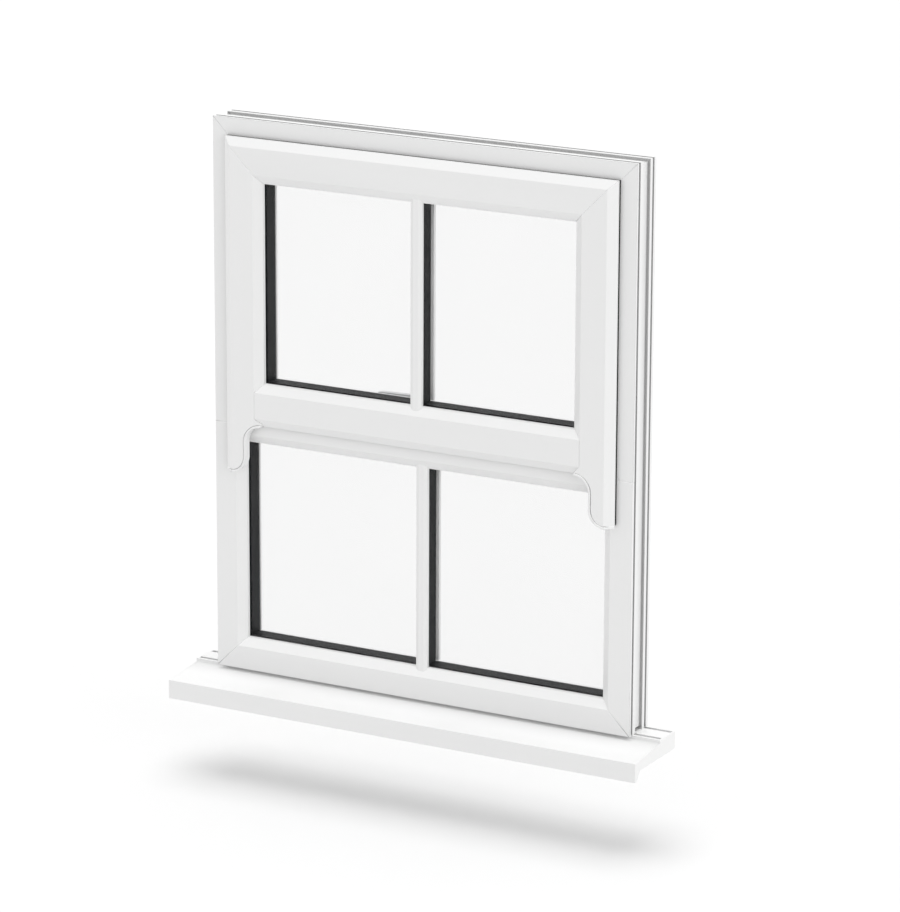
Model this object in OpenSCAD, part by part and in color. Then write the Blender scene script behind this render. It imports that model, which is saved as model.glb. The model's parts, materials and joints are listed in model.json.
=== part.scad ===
// Mock-sash casement window: a white PVC-U frame on a projecting cill. The upper light is a top-hung
// sash with run-through horns that swings outwards on friction stays. The lower light is fixed.
// X runs across the window, Y from the outside face (0) to the room, Z up from the cill's bed.
// Sections are drawn by u, the distance in from the frame's outer edge, and v, the depth along Y.

/* [Window] */
// Width of the frame
frame_w = 825; // [760:5:1000]
// Height of the frame, without the cill
frame_h = 1000; // [960:5:1200]
// Height of the transom's centre above the frame's underside
transom_h = 452; // [420:1:480]

/* [Frame section] */
// Depth of the frame from outside to room
frame_depth = 70; // [68:1:80]
// Flat part of the frame's outside face
frame_flat = 42; // [38:1:48]
// Width of the bevel beside the glass
frame_bevel_w = 15; // [12:1:18]
// Depth of that bevel
frame_bevel_d = 11.5; // [9:0.5:12]
// Thickness of the outside upstand, face to glazing side
upstand_t = 13.5; // [13:0.5:15]
// Height of the upstand above the rebate's floor
frame_rebate = 17; // [15:0.5:19]
// Flat part of the transom's outside face
transom_flat = 34; // [28:1:40]
// Height of the bead-holding nib at the room side
nib_h = 4.5; // [3:0.5:5]
// Thickness of that nib
nib_t = 3; // [2:0.5:3.5]
// Wall thickness of the profiles
wall = 2.8; // [2:0.1:3]
// Width of the main chamber
main_chamber_w = 30; // [26:1:31]
// Web between the fixing channel round the outside and a clip groove
channel_web = 2.5; // [2:0.25:4]
// Width of each lip over the fixing channel
channel_lip = 3.5; // [3:0.25:5]
// Depth of the fixing channel
channel_d = 6; // [4:0.5:7]
// Mouth of the narrow clip grooves
key_w = 6.5; // [4:0.5:7]
// Width of the clip grooves behind their lips
key_in = 10; // [8:0.5:10.5]
// Depth of the clip grooves
key_d = 7; // [5:0.5:8]
// Distance of the front clip groove's middle from the outside face
key_front = 8.5; // [8:0.25:9]
// Distance of the rear clip groove's middle from the room face
key_rear = 10.5; // [10:0.25:11]
// Thickness of the lips over the channel and the grooves
groove_lip = 1.2; // [1:0.1:1.6]

/* [Sash section] */
// Depth of the sash from outside to room
sash_depth = 70; // [68:1:80]
// How far the sash's face stands proud of the frame's
sash_proud = 21; // [19:0.5:23]
// Frame left showing round the sash
lip_reveal = 30; // [28:0.5:32]
// Gap between the sash's lip and the frame's face
lip_gap = 6; // [5:0.5:7]
// Square edge of the lip
lip_edge = 4; // [2:0.5:5]
// Width of the sash's two bevels
sash_bevel_w = 15; // [12:1:18]
// Flat part of the sash's face
sash_flat = 47; // [45:1:52]
// Depth of the bevel beside the glass
glass_bevel_d = 10.5; // [8:0.5:11]
// Thickness of the sash's outside upstand
sash_upstand_t = 12.5; // [12:0.5:13]
// Height of that upstand above the rebate's floor
sash_rebate = 13.5; // [12:0.5:15]
// Gap between the frame's upstand and the sash's body
running_gap = 9; // [9:0.5:11]
// Width of the hardware groove in the sash's edge
groove_w = 16.4; // [16:0.1:18]
// Depth of the hardware groove
groove_d = 3; // [2.5:0.1:3.5]
// Distance of the hardware groove's middle from the frame's face
groove_v = 28; // [26:0.5:29]

/* [Horns] */
// Drop of the horns below the bottom rail's lip
horn_drop = 83; // [70:1:110]
// Radius of the hollow curve below the rail
horn_cove_r = 34; // [30:1:38]
// How far up the mitre past the rail's lip that curve starts
horn_rise = 4; // [1:0.5:6]
// Radius of the horn's nose
horn_nose_r = 26; // [18:1:30]
// Thickness of the horn caps
horn_cap_t = 5; // [3:0.5:6]
// How far the caps stand proud of the horns' faces
horn_cap_proud = 1.2; // [0.4:0.2:1.6]
// Width of the open seam between a horn and its cap
horn_seam = 1.2; // [0.4:0.2:1.6]

/* [Glazing] */
// Thickness of one pane
pane_t = 4; // [3:0.5:5]
// Depth of the lower light's beads, which leaves the rest of the rebate to the glass unit
frame_bead_d = 12; // [10:0.5:16]
// Depth of the sash's beads
sash_bead_d = 13; // [11:0.5:17]
// Thickness of the outer gasket
gasket_t = 2.5; // [2:0.25:3]
// Width of the gasket lip that shows on the glass
gasket_lip = 1.5; // [1:0.25:3]
// Room between the glass's edge and the rebate's floor
edge_gap = 3; // [2:0.5:4]
// Width of spacer that shows past the gasket lip
spacer_show = 1; // [0.5:0.5:4]
// Thickness of the gasket under the beads
bead_gasket_t = 3; // [2:0.5:3.5]
// How far the beads stand past the upstand
bead_over = 1; // [0:0.5:2]
// Flat edge of a bead against the glass
bead_edge = 3; // [2:0.5:3.5]
// Rise of a bead above the nib
bead_heel = 2; // [1:0.5:3]
// Length of a glazing packer
packer_l = 100; // [60:5:120]

/* [Glazing bars] */
// Width of the bars
bar_w = 22; // [18:1:28]
// Flat top of the bars
bar_flat = 10; // [6:1:14]
// Thickness of the bars
bar_t = 9.5; // [8:0.5:11]
// Square edge of the bars on the glass
bar_edge = 6.5; // [4:0.5:7]
// Width of the dummy spacer between the panes
dummy_w = 14; // [8:1:16]

/* [Cill] */
// Height of the cill from its bed to the frame's seat
cill_h = 32; // [28:1:40]
// How far the cill stands out in front of the frame
cill_projection = 82; // [70:1:120]
// How far the cill runs past the frame at each end
cill_overhang = 53; // [20:1:100]
// Step down in front of the seat
cill_step_h = 6; // [4:0.5:7]
// Set-back of that step behind the frame's face
cill_step_back = 12; // [6:0.5:12.5]
// Fall from the seat to the front edge
cill_fall = 15; // [12:0.5:18]
// Height of the cill's nosing
nosing_h = 34; // [28:1:40]
// Thickness of the nosing at its foot
nosing_foot = 5; // [3:0.5:8]
// Thickness of the nosing at the bed
nosing_root = 20; // [14:1:28]
// Slope height of the nosing's drip edge
nosing_drip = 6; // [3:0.5:8]
// Thickness of the end caps
cill_cap_t = 3; // [2:0.5:5]
// Mouth of the clip slots in the seat
slot_w = 8; // [6:0.5:9]
// Width of the clip slots under their lips
slot_in = 12; // [10:0.5:13]
// Depth of the clip slots
slot_d = 5; // [4:0.5:6]
// Distance of the front slot's middle from the frame's face
slot_front = 21; // [20:0.5:24]
// Distance of the rear slot's middle from the frame's room face
slot_rear = 8.5; // [8:0.5:10]

/* [Friction stays] */
// Length of the short arms between pivots
stay_arm = 110; // [95:1:115]
// Distance between the two pivots on the sash
stay_offset = 22; // [20:1:26]
// Line that the sash first turns about, below the top of the frame
stay_line = 22; // [18:1:26]
// Width of the arms, tracks and bars
stay_w = 16; // [14:0.5:16]
// Thickness of the arms
arm_t = 2; // [1.5:0.1:2]
// Thickness of the track's folded sheet
track_t = 1.5; // [1:0.1:2]
// Height of the track above the frame's upstand
track_rise = 1.5; // [1:0.1:1.5]
// Length of track and bar past the last pivot
stay_end = 25; // [16:1:40]
// Diameter of the pivots
pivot_d = 6; // [5:0.1:7]
// Diameter of the rivet heads and shoulders
pivot_head_d = 9; // [8:0.1:10]
// Thickness of the rivet heads
pivot_head_t = 0.6; // [0.4:0.1:0.7]
// Thickness of the bar on the sash
stay_bar_t = 2.8; // [2:0.1:2.8]

/* [Lock and handle] */
// Place of the handle along the bottom rail, from its middle
handle_x = -36; // [-40:1:40]
// Distance of the spindle from the sash's edge
backset = 18; // [18:0.5:18.5]
// Length of the lock rod
rod_l = 380; // [340:5:420]
// Travel of the lock rod
rod_travel = 18; // [14:1:20]
// Spacing of the mushroom cams
cam_pitch = 300; // [240:5:320]
// Diameter of a cam's neck
cam_d = 6; // [5:0.5:7]
// Diameter of a cam's head
cam_head_d = 10; // [9:0.5:11]
// Thickness of a cam's head
cam_head_t = 2; // [1.5:0.5:2.5]
// Length of a keep
keep_l = 40; // [30:1:50]
// Thickness of a keep's plates
keep_t = 3; // [2.5:0.5:4]
// Length of the lock gearbox
gearbox_l = 90; // [70:1:110]
// Length of the handle's lever from the spindle
lever_l = 102; // [90:1:130]
// Diameter of the lever's hub
lever_hub_d = 25; // [22:1:26]
// Width of the lever's tip
lever_tip_w = 20; // [14:1:22]
// Thickness of the lever
lever_t = 12; // [10:0.5:14]
// Distance of the lever from the sash
lever_stand = 40; // [30:1:44]
// Width of the handle's base plate
plate_w = 26; // [24:1:26]
// Length of the handle's base plate
plate_l = 118; // [112:1:120]
// Distance from the spindle to the middle of the plate's near end
plate_end = 22; // [20:1:26]
// Thickness of the base plate
plate_t = 8; // [6:0.5:10]
// Side of the square spindle
spindle_w = 7; // [6:0.5:8]
// Diameter of the base plate's screws
screw_d = 5; // [4:0.5:6]

/* [Fits] */
// Running clearance of a pivot in its hole, on the radius
pivot_fit = 0.05; // [0.03:0.01:0.08]
// Slack of the long arms' open pivot, on the radius
open_fit = 0.9; // [0.8:0.1:1.2]
// Gap between plates that slide past each other
slide_gap = 0.5; // [0.3:0.1:0.5]
// Gap left by pieces that fit against a shaped edge
fit_gap = 0.2; // [0.1:0.05:0.3]
// Gap between a seal and what it seals against
seal_gap = 0.4; // [0.3:0.1:1]
// Set-back of the sash's seal behind the edge of its lip
seal_set = 0.5; // [0.5:0.5:2]
// Height of the seal on the frame's upstand
seal_h = 1.2; // [0.8:0.1:1.2]
// Thickness of the steel reinforcement
steel_t = 1.5; // [1:0.1:2]
// Clearance of the steel in its chamber
steel_fit = 0.3; // [0.2:0.1:0.6]

/* [Hidden] */
$fn = 64;

pvc = "#ececec";
rubber = "#d9d9d9";
black = "#2b2b2b";
glass = [0.85, 0.92, 0.93, 0.35];
zinc = "#b9bcbf";
steel = "#9aa0a4";

over = 1;                                        // cuts run this far past a face
hw = frame_w / 2;

// lines of the frame section, by u
f_sight = frame_flat + frame_bevel_w;
f_floor = f_sight - frame_rebate;
apex = frame_flat - transom_flat / 2;            // where the transom's two mitres meet
t_floor = f_floor - apex;
key_top = key_d + wall;
channel_in = frame_depth - 2 * max(key_front, key_rear) - key_in - 2 * channel_web;
channel_w = channel_in - 2 * channel_lip;
chamber_u = channel_d + wall;
main_v0 = (frame_depth - main_chamber_w) / 2;
main_v1 = main_v0 + main_chamber_w;

// lines of the sash section, by u and by v
s_flat0 = lip_reveal + sash_bevel_w;
s_flat1 = s_flat0 + sash_flat;
s_sight = s_flat1 + sash_bevel_w;
s_floor = s_sight - sash_rebate;
horn_tip = s_sight - horn_rise;                  // where the horn's curve leaves the mitre
s_edge = f_sight + running_gap;
s_face = -sash_proud;
s_back = s_face + sash_depth;
s_stop = s_face + sash_upstand_t;
lip_back = -lip_gap;
s_chamber_u = s_edge + groove_d + wall;

// outer and inner faces of the glass units, by v
f_glass = upstand_t + gasket_t;
f_glass_in = frame_depth - nib_t - frame_bead_d - bead_gasket_t;
s_glass = s_stop + gasket_t;
s_glass_in = s_back - nib_t - sash_bead_d - bead_gasket_t;

// heights
z0 = cill_h;
z1 = z0 + frame_h;
zt = z0 + transom_h;
zv = zt - apex;                                  // foot of the upper light's own outline
zw = zt + apex;                                  // head of the lower light's own outline
upper = [zv, z1];
lower = [z0, zw];

// friction stay pivots: the short arm turns back half as far as the sash swings, so the sash first
// turns about stay_line, and the long arm's length is the radius its pivot's path starts with
z_line = z1 - stay_line;
z_p2 = z_line - 2 * stay_arm;
z_q2 = z_p2 + stay_arm;
z_q1 = z_q2 - stay_offset;
long_arm = pow(stay_arm + stay_offset, 2) / (stay_arm - stay_offset);
z_p1 = z_q1 - long_arm;
track_u = f_sight + track_rise;
short_u = track_u + slide_gap;
long_u = short_u + arm_t + 2 * slide_gap;
bar_u = s_edge + groove_d - stay_bar_t;

// lock and handle
rod_gap = slide_gap / 2;
rod_z0 = zv + s_edge + rod_gap;
rod_z1 = zv + s_edge + groove_d - rod_gap;
cam_z = zv + f_sight + 2 * seal_h;
z_spindle = zv + s_edge + backset;
gear_top = s_floor - wall - fit_gap;
lever_y0 = s_back + lever_stand;
lug_l = 10;
lug_w = 4;
lug_rise = 5;
slot_play = 2;
boss_d = 14;
spindle_hole_d = 12;

// a profile's length along each side of a light, with u pointing into the light
module along_left(z_lo, z_hi) {
  translate([-hw, 0, z_lo]) linear_extrude(z_hi - z_lo) children();
}
module along_foot(z) {
  translate([hw, 0, z]) rotate([0, -90, 0]) linear_extrude(frame_w) children();
}
module along_head(z) {
  translate([-hw, 0, z]) rotate([0, 90, 0]) linear_extrude(frame_w) children();
}
module right_hand() {
  mirror([1, 0, 0]) children();
}

// a flat outline seen from outside, given depth from y0 to y1
module facing(y0, y1) {
  translate([0, y1, 0]) rotate([90, 0, 0]) linear_extrude(y1 - y0) children();
}

// outlines of the mitred pieces of a light between two distances from its edge
function head_piece(span, a, b) = [
  [-hw + a, span[1] - a], [hw - a, span[1] - a], [hw - b, span[1] - b], [-hw + b, span[1] - b]];
function foot_piece(span, a, b) = [
  [-hw + a, span[0] + a], [hw - a, span[0] + a], [hw - b, span[0] + b], [-hw + b, span[0] + b]];
function left_piece(span, a, b) = [
  [-hw + a, span[0] + a], [-hw + a, span[1] - a], [-hw + b, span[1] - b], [-hw + b, span[0] + b]];

// a plate that fills a light from distance d inwards, and a plain ring
module plate(span, d, y0, y1) {
  translate([-hw + d, y0, span[0] + d]) cube([frame_w - 2 * d, y1 - y0, span[1] - span[0] - 2 * d]);
}
module ring(span, d_out, d_in, y0, y1) {
  difference() {
    plate(span, d_out, y0, y1);
    plate(span, d_in, y0 - over, y1 + over);
  }
}

module rect(u0, u1, v0, v1) {
  translate([u0, v0]) square([u1 - u0, v1 - v0]);
}

// a slot from the edge at u = 0, wider behind its two lips
module lipped_slot(v, mouth, inner, depth) {
  rect(-over, depth, v - mouth / 2, v + mouth / 2);
  rect(groove_lip, depth, v - inner / 2, v + inner / 2);
}

// frame section: outside upstand, glazing floor, nib, fixing channel and clip grooves
module frame_section() {
  difference() {
    polygon([
      [0, 0], [frame_flat, 0], [f_sight, frame_bevel_d], [f_sight, upstand_t], [f_floor, upstand_t],
      [f_floor, frame_depth - nib_t], [f_floor + nib_h, frame_depth - nib_t],
      [f_floor + nib_h, frame_depth], [0, frame_depth]
    ]);
    lipped_slot(frame_depth / 2, channel_w, channel_in, channel_d);
    for (v = [key_front, frame_depth - key_rear]) lipped_slot(v, key_w, key_in, key_d);
    rect(key_top, f_floor - wall, wall, main_v0 - wall);
    rect(chamber_u, f_floor - wall, main_v0, main_v1);
    rect(key_top, f_floor - wall, main_v1 + wall, frame_depth - wall);
  }
}

// transom section, the same both ways from its centre line
module transom_section() {
  half = [
    [transom_flat / 2, 0], [f_sight - apex, frame_bevel_d], [f_sight - apex, upstand_t],
    [t_floor, upstand_t], [t_floor, frame_depth - nib_t], [t_floor + nib_h, frame_depth - nib_t],
    [t_floor + nib_h, frame_depth]
  ];
  other = [for (i = [len(half) - 1 : -1 : 0]) [-half[i][0], half[i][1]]];
  difference() {
    polygon(concat(half, other));
    rect(wall - t_floor, t_floor - wall, wall, main_v0 - wall);
    rect(wall - t_floor, t_floor - wall, main_v0, main_v1);
    rect(wall - t_floor, t_floor - wall, main_v1 + wall, frame_depth - wall);
  }
}

// sash section: lip over the frame, two bevels, glazing floor, nib and hardware groove
module sash_outline() {
  difference() {
    polygon([
      [lip_reveal, lip_back], [lip_reveal, lip_back - lip_edge], [s_flat0, s_face], [s_flat1, s_face],
      [s_sight, s_face + glass_bevel_d], [s_sight, s_stop], [s_floor, s_stop],
      [s_floor, s_back - nib_t], [s_floor + nib_h, s_back - nib_t], [s_floor + nib_h, s_back],
      [s_edge, s_back], [s_edge, lip_back]
    ]);
    rect(s_edge - over, s_edge + groove_d, groove_v - groove_w / 2, groove_v + groove_w / 2);
  }
}
module sash_face_chamber(u_end) {
  rect(s_flat0 + wall, u_end, s_face + wall, lip_back - wall);
}
module sash_main_chamber() {
  rect(s_chamber_u, s_floor - wall, lip_back, s_back - wall);
}
module sash_section() {
  difference() {
    sash_outline();
    sash_face_chamber(s_floor - wall);
    sash_main_chamber();
  }
}

// frame bars, mitred to each other and to the transom
module frame_bar(outline) {
  color(pvc) intersection() {
    children();
    facing(-over, frame_depth + over) polygon(outline);
  }
}
module frame_head() {
  frame_bar(head_piece(upper, 0, f_sight)) along_head(z1) frame_section();
}
module frame_bottom_rail() {
  frame_bar(foot_piece(lower, 0, f_sight)) along_foot(z0) frame_section();
}
module frame_transom() {
  frame_bar([
    [apex - hw, zt], [f_sight - hw, zv + f_sight], [hw - f_sight, zv + f_sight],
    [hw - apex, zt], [hw - f_sight, zw - f_sight], [f_sight - hw, zw - f_sight]
  ]) along_foot(zt) transom_section();
}
module frame_jamb_left_upper() {
  frame_bar([
    [-hw, zt], [apex - hw, zt], [f_sight - hw, zv + f_sight], [f_sight - hw, z1 - f_sight], [-hw, z1]
  ]) along_left(zt, z1) frame_section();
}
module frame_jamb_left_lower() {
  frame_bar([
    [-hw, zt], [apex - hw, zt], [f_sight - hw, zw - f_sight], [f_sight - hw, z0 + f_sight], [-hw, z0]
  ]) along_left(z0, zt) frame_section();
}
module frame_jamb_right_upper() {
  right_hand() frame_jamb_left_upper();
}
module frame_jamb_right_lower() {
  right_hand() frame_jamb_left_lower();
}

// folded steel channels inside the main chambers, cut short of the mitres
module steel_channel(u0, u1, v0, v1) {
  difference() {
    rect(u0 + steel_fit, u1 - steel_fit, v0 + steel_fit, v1 - steel_fit);
    rect(u0 + steel_fit + steel_t, u1, v0 + steel_fit + steel_t, v1 - steel_fit - steel_t);
  }
}
module between(x_end, z_lo, z_hi) {
  intersection() {
    children();
    translate([-hw + x_end, s_face, z_lo]) cube([frame_w - 2 * x_end, frame_depth - s_face, z_hi - z_lo]);
  }
}
module frame_steel() {
  steel_channel(chamber_u, f_floor - wall, main_v0, main_v1);
}
module frame_reinforcement() {
  color(steel) {
    between(f_sight, z0, z1) {
      along_head(z1) frame_steel();
      along_foot(z0) frame_steel();
      along_foot(zt) steel_channel(wall - t_floor, t_floor - wall, main_v0, main_v1);
    }
    for (side = [0, 1]) mirror([side, 0, 0]) {
      along_left(zv + f_sight, z1 - f_sight) frame_steel();
      along_left(z0 + f_sight, zw - f_sight) frame_steel();
    }
  }
}

// cill: hollow extrusion, stepped seat, sloping top and deep nosing
function slope_z(y) =
  z0 - cill_step_h - (cill_step_back - y) * (cill_fall - cill_step_h) / (cill_step_back + cill_projection);
module cill_outline() {
  foot = z0 - cill_fall - nosing_h;
  polygon([
    [cill_step_back, z0], [cill_step_back, z0 - cill_step_h], [-cill_projection, z0 - cill_fall],
    [-cill_projection, foot], [nosing_foot - cill_projection, foot],
    [nosing_foot + nosing_drip - cill_projection, foot + nosing_drip],
    [nosing_root - cill_projection, 0], [frame_depth, 0], [frame_depth, z0]
  ]);
}
module cill_chambers() {
  front0 = nosing_root - cill_projection;
  web = (front0 + cill_step_back) / 2;
  for (ends = [[front0, web - wall / 2], [web + wall / 2, cill_step_back - wall]]) {
    polygon([
      [ends[0], wall], [ends[0], slope_z(ends[0]) - wall], [ends[1], slope_z(ends[1]) - wall],
      [ends[1], wall]
    ]);
  }
  middle = (cill_step_back + frame_depth) / 2;
  rect(cill_step_back + wall, middle - wall / 2, wall, z0 - slot_d - wall);
  rect(middle + wall / 2, frame_depth - wall, wall, z0 - slot_d - wall);
}
module along_cill(x0, x1) {
  translate([x0, 0, 0]) rotate([90, 0, 90]) linear_extrude(x1 - x0) children();
}
module cill() {
  color(pvc) along_cill(-hw - cill_overhang + cill_cap_t, hw + cill_overhang - cill_cap_t)
    difference() {
      cill_outline();
      cill_chambers();
      for (v = [slot_front, frame_depth - slot_rear]) {
        rect(v - slot_w / 2, v + slot_w / 2, z0 - slot_d, z0 + over);
        rect(v - slot_in / 2, v + slot_in / 2, z0 - slot_d, z0 - groove_lip);
      }
    }
}
module cill_end_cap_left() {
  color(pvc) along_cill(-hw - cill_overhang, -hw - cill_overhang + cill_cap_t) cill_outline();
}
module cill_end_cap_right() {
  right_hand() cill_end_cap_left();
}

// double-glazed unit of a light: edge lines by u, faces by v
module pane(span, floor_u, v) {
  color(glass) plate(span, floor_u + edge_gap, v, v + pane_t);
}
module spacer_frame(span, sight, floor_u, v, v_in) {
  color(black)
    ring(span, floor_u + 2 * edge_gap, sight + gasket_lip + spacer_show, v + pane_t, v_in - pane_t);
}
module dummy_spacer(span, sight, v, v_in) {
  d = sight + gasket_lip + spacer_show;
  color(black) translate([-dummy_w / 2, v + pane_t, span[0] + d])
    cube([dummy_w, v_in - v - 2 * pane_t, span[1] - span[0] - 2 * d]);
}

// glazing bar on the outer pane, its ends cut to sit over the gasket and on the bevel
module bar_section(v, way) {
  polygon([
    [-bar_w / 2, v], [-bar_w / 2, v + way * bar_edge], [-bar_flat / 2, v + way * bar_t],
    [bar_flat / 2, v + way * bar_t], [bar_w / 2, v + way * bar_edge], [bar_w / 2, v]
  ]);
}
module outer_bar(span, sight, v, face_v, bevel_w, bevel_d) {
  tip_v = face_v + bevel_d;
  reach = (tip_v - v + bar_t) * bevel_w / bevel_d;
  ends = [
    [v, sight + gasket_lip + fit_gap], [v - gasket_t - fit_gap, sight + gasket_lip + fit_gap],
    [v - gasket_t - fit_gap, sight + fit_gap], [tip_v, sight + fit_gap], [v - bar_t, sight + fit_gap - reach]
  ];
  foot = [for (e = ends) [e[0], span[0] + e[1]]];
  head = [for (i = [len(ends) - 1 : -1 : 0]) [ends[i][0], span[1] - ends[i][1]]];
  color(pvc) intersection() {
    translate([0, 0, span[0]]) linear_extrude(span[1] - span[0]) bar_section(v, -1);
    translate([-bar_w, 0, 0]) rotate([90, 0, 90]) linear_extrude(2 * bar_w) polygon(concat(foot, head));
  }
}
module inner_bar(span, sight, v_in) {
  d = sight + bead_over + gasket_lip + fit_gap;
  color(pvc) translate([0, 0, span[0] + d]) linear_extrude(span[1] - span[0] - 2 * d)
    bar_section(v_in, 1);
}

// gaskets, beads and packers of a light
module outer_gasket(span, sight, floor_u, v) {
  color(rubber) ring(span, floor_u + 2 * edge_gap, sight + gasket_lip, v - gasket_t, v);
}
module bead_gasket(span, sight, floor_u, v_in) {
  color(rubber) ring(span, floor_u + 2 * edge_gap, sight + gasket_lip, v_in, v_in + bead_gasket_t);
}
module bead_section(sight, floor_u, v_in, depth) {
  v0 = v_in + bead_gasket_t;
  v1 = v0 + depth;
  polygon([
    [floor_u, v0], [sight + bead_over, v0], [sight + bead_over, v0 + bead_edge],
    [floor_u + nib_h + bead_heel, v1], [floor_u, v1]
  ]);
}
module bead(outline) {
  color(pvc) intersection() {
    children();
    facing(s_face, frame_depth) polygon(outline);
  }
}
module packers(span, floor_u, v, v_in) {
  third = (frame_w - 2 * floor_u) / 4;
  color(black) {
    for (x = [-third, third]) {
      translate([x - packer_l / 2, v, span[0] + floor_u]) cube([packer_l, v_in - v, edge_gap]);
    }
    for (side = [0, 1]) mirror([side, 0, 0]) {
      translate([-hw + floor_u, v, (span[0] + span[1]) / 2]) cube([edge_gap, v_in - v, packer_l]);
    }
  }
}

// lower light, fixed in the frame
module lower_outer_pane() { pane(lower, f_floor, f_glass); }
module lower_inner_pane() { pane(lower, f_floor, f_glass_in - pane_t); }
module lower_spacer_frame() { spacer_frame(lower, f_sight, f_floor, f_glass, f_glass_in); }
module lower_dummy_spacer() { dummy_spacer(lower, f_sight, f_glass, f_glass_in); }
module lower_outer_bar() { outer_bar(lower, f_sight, f_glass, 0, frame_bevel_w, frame_bevel_d); }
module lower_inner_bar() { inner_bar(lower, f_sight, f_glass_in); }
module lower_outer_gasket() { outer_gasket(lower, f_sight, f_floor, f_glass); }
module lower_bead_gasket() { bead_gasket(lower, f_sight, f_floor, f_glass_in); }
module lower_packers() { packers(lower, f_floor, f_glass, f_glass_in); }
module lower_bead() { bead_section(f_sight, f_floor, f_glass_in, frame_bead_d); }
f_bead = f_sight + bead_over;
module lower_bead_top() { bead(head_piece(lower, f_floor, f_bead)) along_head(zw) lower_bead(); }
module lower_bead_bottom() { bead(foot_piece(lower, f_floor, f_bead)) along_foot(z0) lower_bead(); }
module lower_bead_left() { bead(left_piece(lower, f_floor, f_bead)) along_left(z0, zw) lower_bead(); }
module lower_bead_right() { right_hand() lower_bead_left(); }

// seal on the tip of the frame's upstand, short enough for the stay arms to pass over
module frame_seal() {
  v0 = frame_bevel_d + fit_gap;
  color(black) ring(upper, f_sight, f_sight + seal_h, v0, upstand_t - fit_gap);
}

// keeps behind the lock cams, with their outer lips cut back
module lock_keeps() {
  floor_z = zv + f_floor;
  stop_v = groove_v + cam_head_d / 2 + 2 * slide_gap;
  rise = s_edge - f_floor - 2 * seal_h - keep_t;
  start_v = groove_v - cam_head_d / 2;
  color(zinc) for (x = [-cam_pitch / 2, cam_pitch / 2]) translate([x + cam_head_d - keep_l, 0, floor_z]) {
    translate([0, start_v, 0]) cube([keep_l, stop_v + keep_t - start_v, keep_t]);
    translate([0, stop_v, 0]) cube([keep_l, keep_t, rise]);
    for (x_rib = [0, keep_l - keep_t]) translate([x_rib, stop_v + keep_t, 0])
      rotate([90, 0, 90]) linear_extrude(keep_t) polygon([[0, 0], [rise / 2, 0], [0, rise]]);
  }
}

// a round shape across the window at depth groove_v, between two values of u, on the left side
module across(z, u_from, u_to, d) {
  translate([-hw + u_from, groove_v, z]) rotate([0, 90, 0]) cylinder(d = d, h = u_to - u_from);
}

// friction stays, left hand
module stay_track_left() {
  z_lo = z_p1 - stay_end;
  length = z_p2 + stay_end - z_lo;
  long_top = long_u + arm_t;
  color(steel) {
    difference() {
      translate([-hw + f_floor, groove_v - stay_w / 2, z_lo]) cube([track_u - f_floor, stay_w, length]);
      translate([-hw + f_floor - over, groove_v - stay_w / 2 + track_t, z_lo - over])
        cube([track_u - f_floor + over - track_t, stay_w - 2 * track_t, length + 2 * over]);
    }
    across(z_p2, track_u, short_u + arm_t + fit_gap, pivot_d);
    across(z_p2, short_u + arm_t + fit_gap / 2, short_u + arm_t + fit_gap / 2 + pivot_head_t, pivot_head_d);
    across(z_p1, track_u, long_u - fit_gap / 2, pivot_head_d);
    across(z_p1, track_u, long_top + fit_gap, pivot_d);
    across(z_p1, long_top + fit_gap / 2, long_top + fit_gap / 2 + pivot_head_t, pivot_head_d);
  }
}
module stay_track_right() {
  right_hand() stay_track_left();
}
module arm(z_lo, z_hi, u, d_lo, d_hi) {
  color(steel) difference() {
    union() {
      translate([-hw + u, groove_v - stay_w / 2, z_lo]) cube([arm_t, stay_w, z_hi - z_lo]);
      for (z = [z_lo, z_hi]) across(z, u, u + arm_t, stay_w);
    }
    across(z_lo, u - over, u + arm_t + over, d_lo);
    across(z_hi, u - over, u + arm_t + over, d_hi);
  }
}
pivot_hole = pivot_d + 2 * pivot_fit;
module short_arm_left() {
  arm(z_p2, z_q2, short_u, pivot_hole, pivot_hole);
}
module short_arm_right() {
  right_hand() short_arm_left();
}
module long_arm_left() {
  arm(z_p1, z_q1, long_u, pivot_hole, pivot_d + 2 * open_fit);
}
module long_arm_right() {
  right_hand() long_arm_left();
}
module stay_bar_left() {
  z_lo = z_q1 - 2 * stay_end;
  color(steel) {
    translate([-hw + bar_u, groove_v - stay_w / 2, z_lo])
      cube([stay_bar_t, stay_w, z_q2 + 2 * stay_end - z_lo]);
    across(z_q2, short_u, bar_u + fit_gap, pivot_d);
    across(z_q2, short_u + arm_t + fit_gap / 2, bar_u + fit_gap, pivot_head_d);
    across(z_q1, long_u, bar_u + fit_gap, pivot_d);
    across(z_q1, long_u + arm_t + fit_gap / 2, bar_u + fit_gap, pivot_head_d);
  }
}
module stay_bar_right() {
  right_hand() stay_bar_left();
}

// horn outline, by u and height, grown outwards by the thickness of its cap
module horn_outline(grow) {
  z_lip = zv + lip_reveal;
  z_tip = z_lip + horn_rise;
  z_cove = z_tip - horn_cove_r;
  shank = horn_tip - lip_reveal - horn_cove_r;
  u_nose = lip_reveal + shank - horn_nose_r;
  z_nose = z_lip - horn_drop + horn_nose_r;
  r_nose = horn_nose_r + grow;
  difference() {
    rect(lip_reveal, horn_tip, z_cove, z_tip);
    translate([horn_tip, z_cove]) circle(r = horn_cove_r - grow);
  }
  rect(lip_reveal, lip_reveal + shank + grow, z_nose, z_cove);
  intersection() {
    translate([u_nose, z_nose]) circle(r = r_nose);
    rect(u_nose, u_nose + r_nose, z_nose - r_nose, z_nose);
  }
  rect(lip_reveal, u_nose, z_nose - r_nose, z_nose);
}
module horn_section() {
  polygon([
    [lip_reveal, lip_back], [lip_reveal, lip_back - lip_edge], [s_flat0, s_face],
    [s_sight, s_face], [s_sight, lip_back]
  ]);
}
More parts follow.
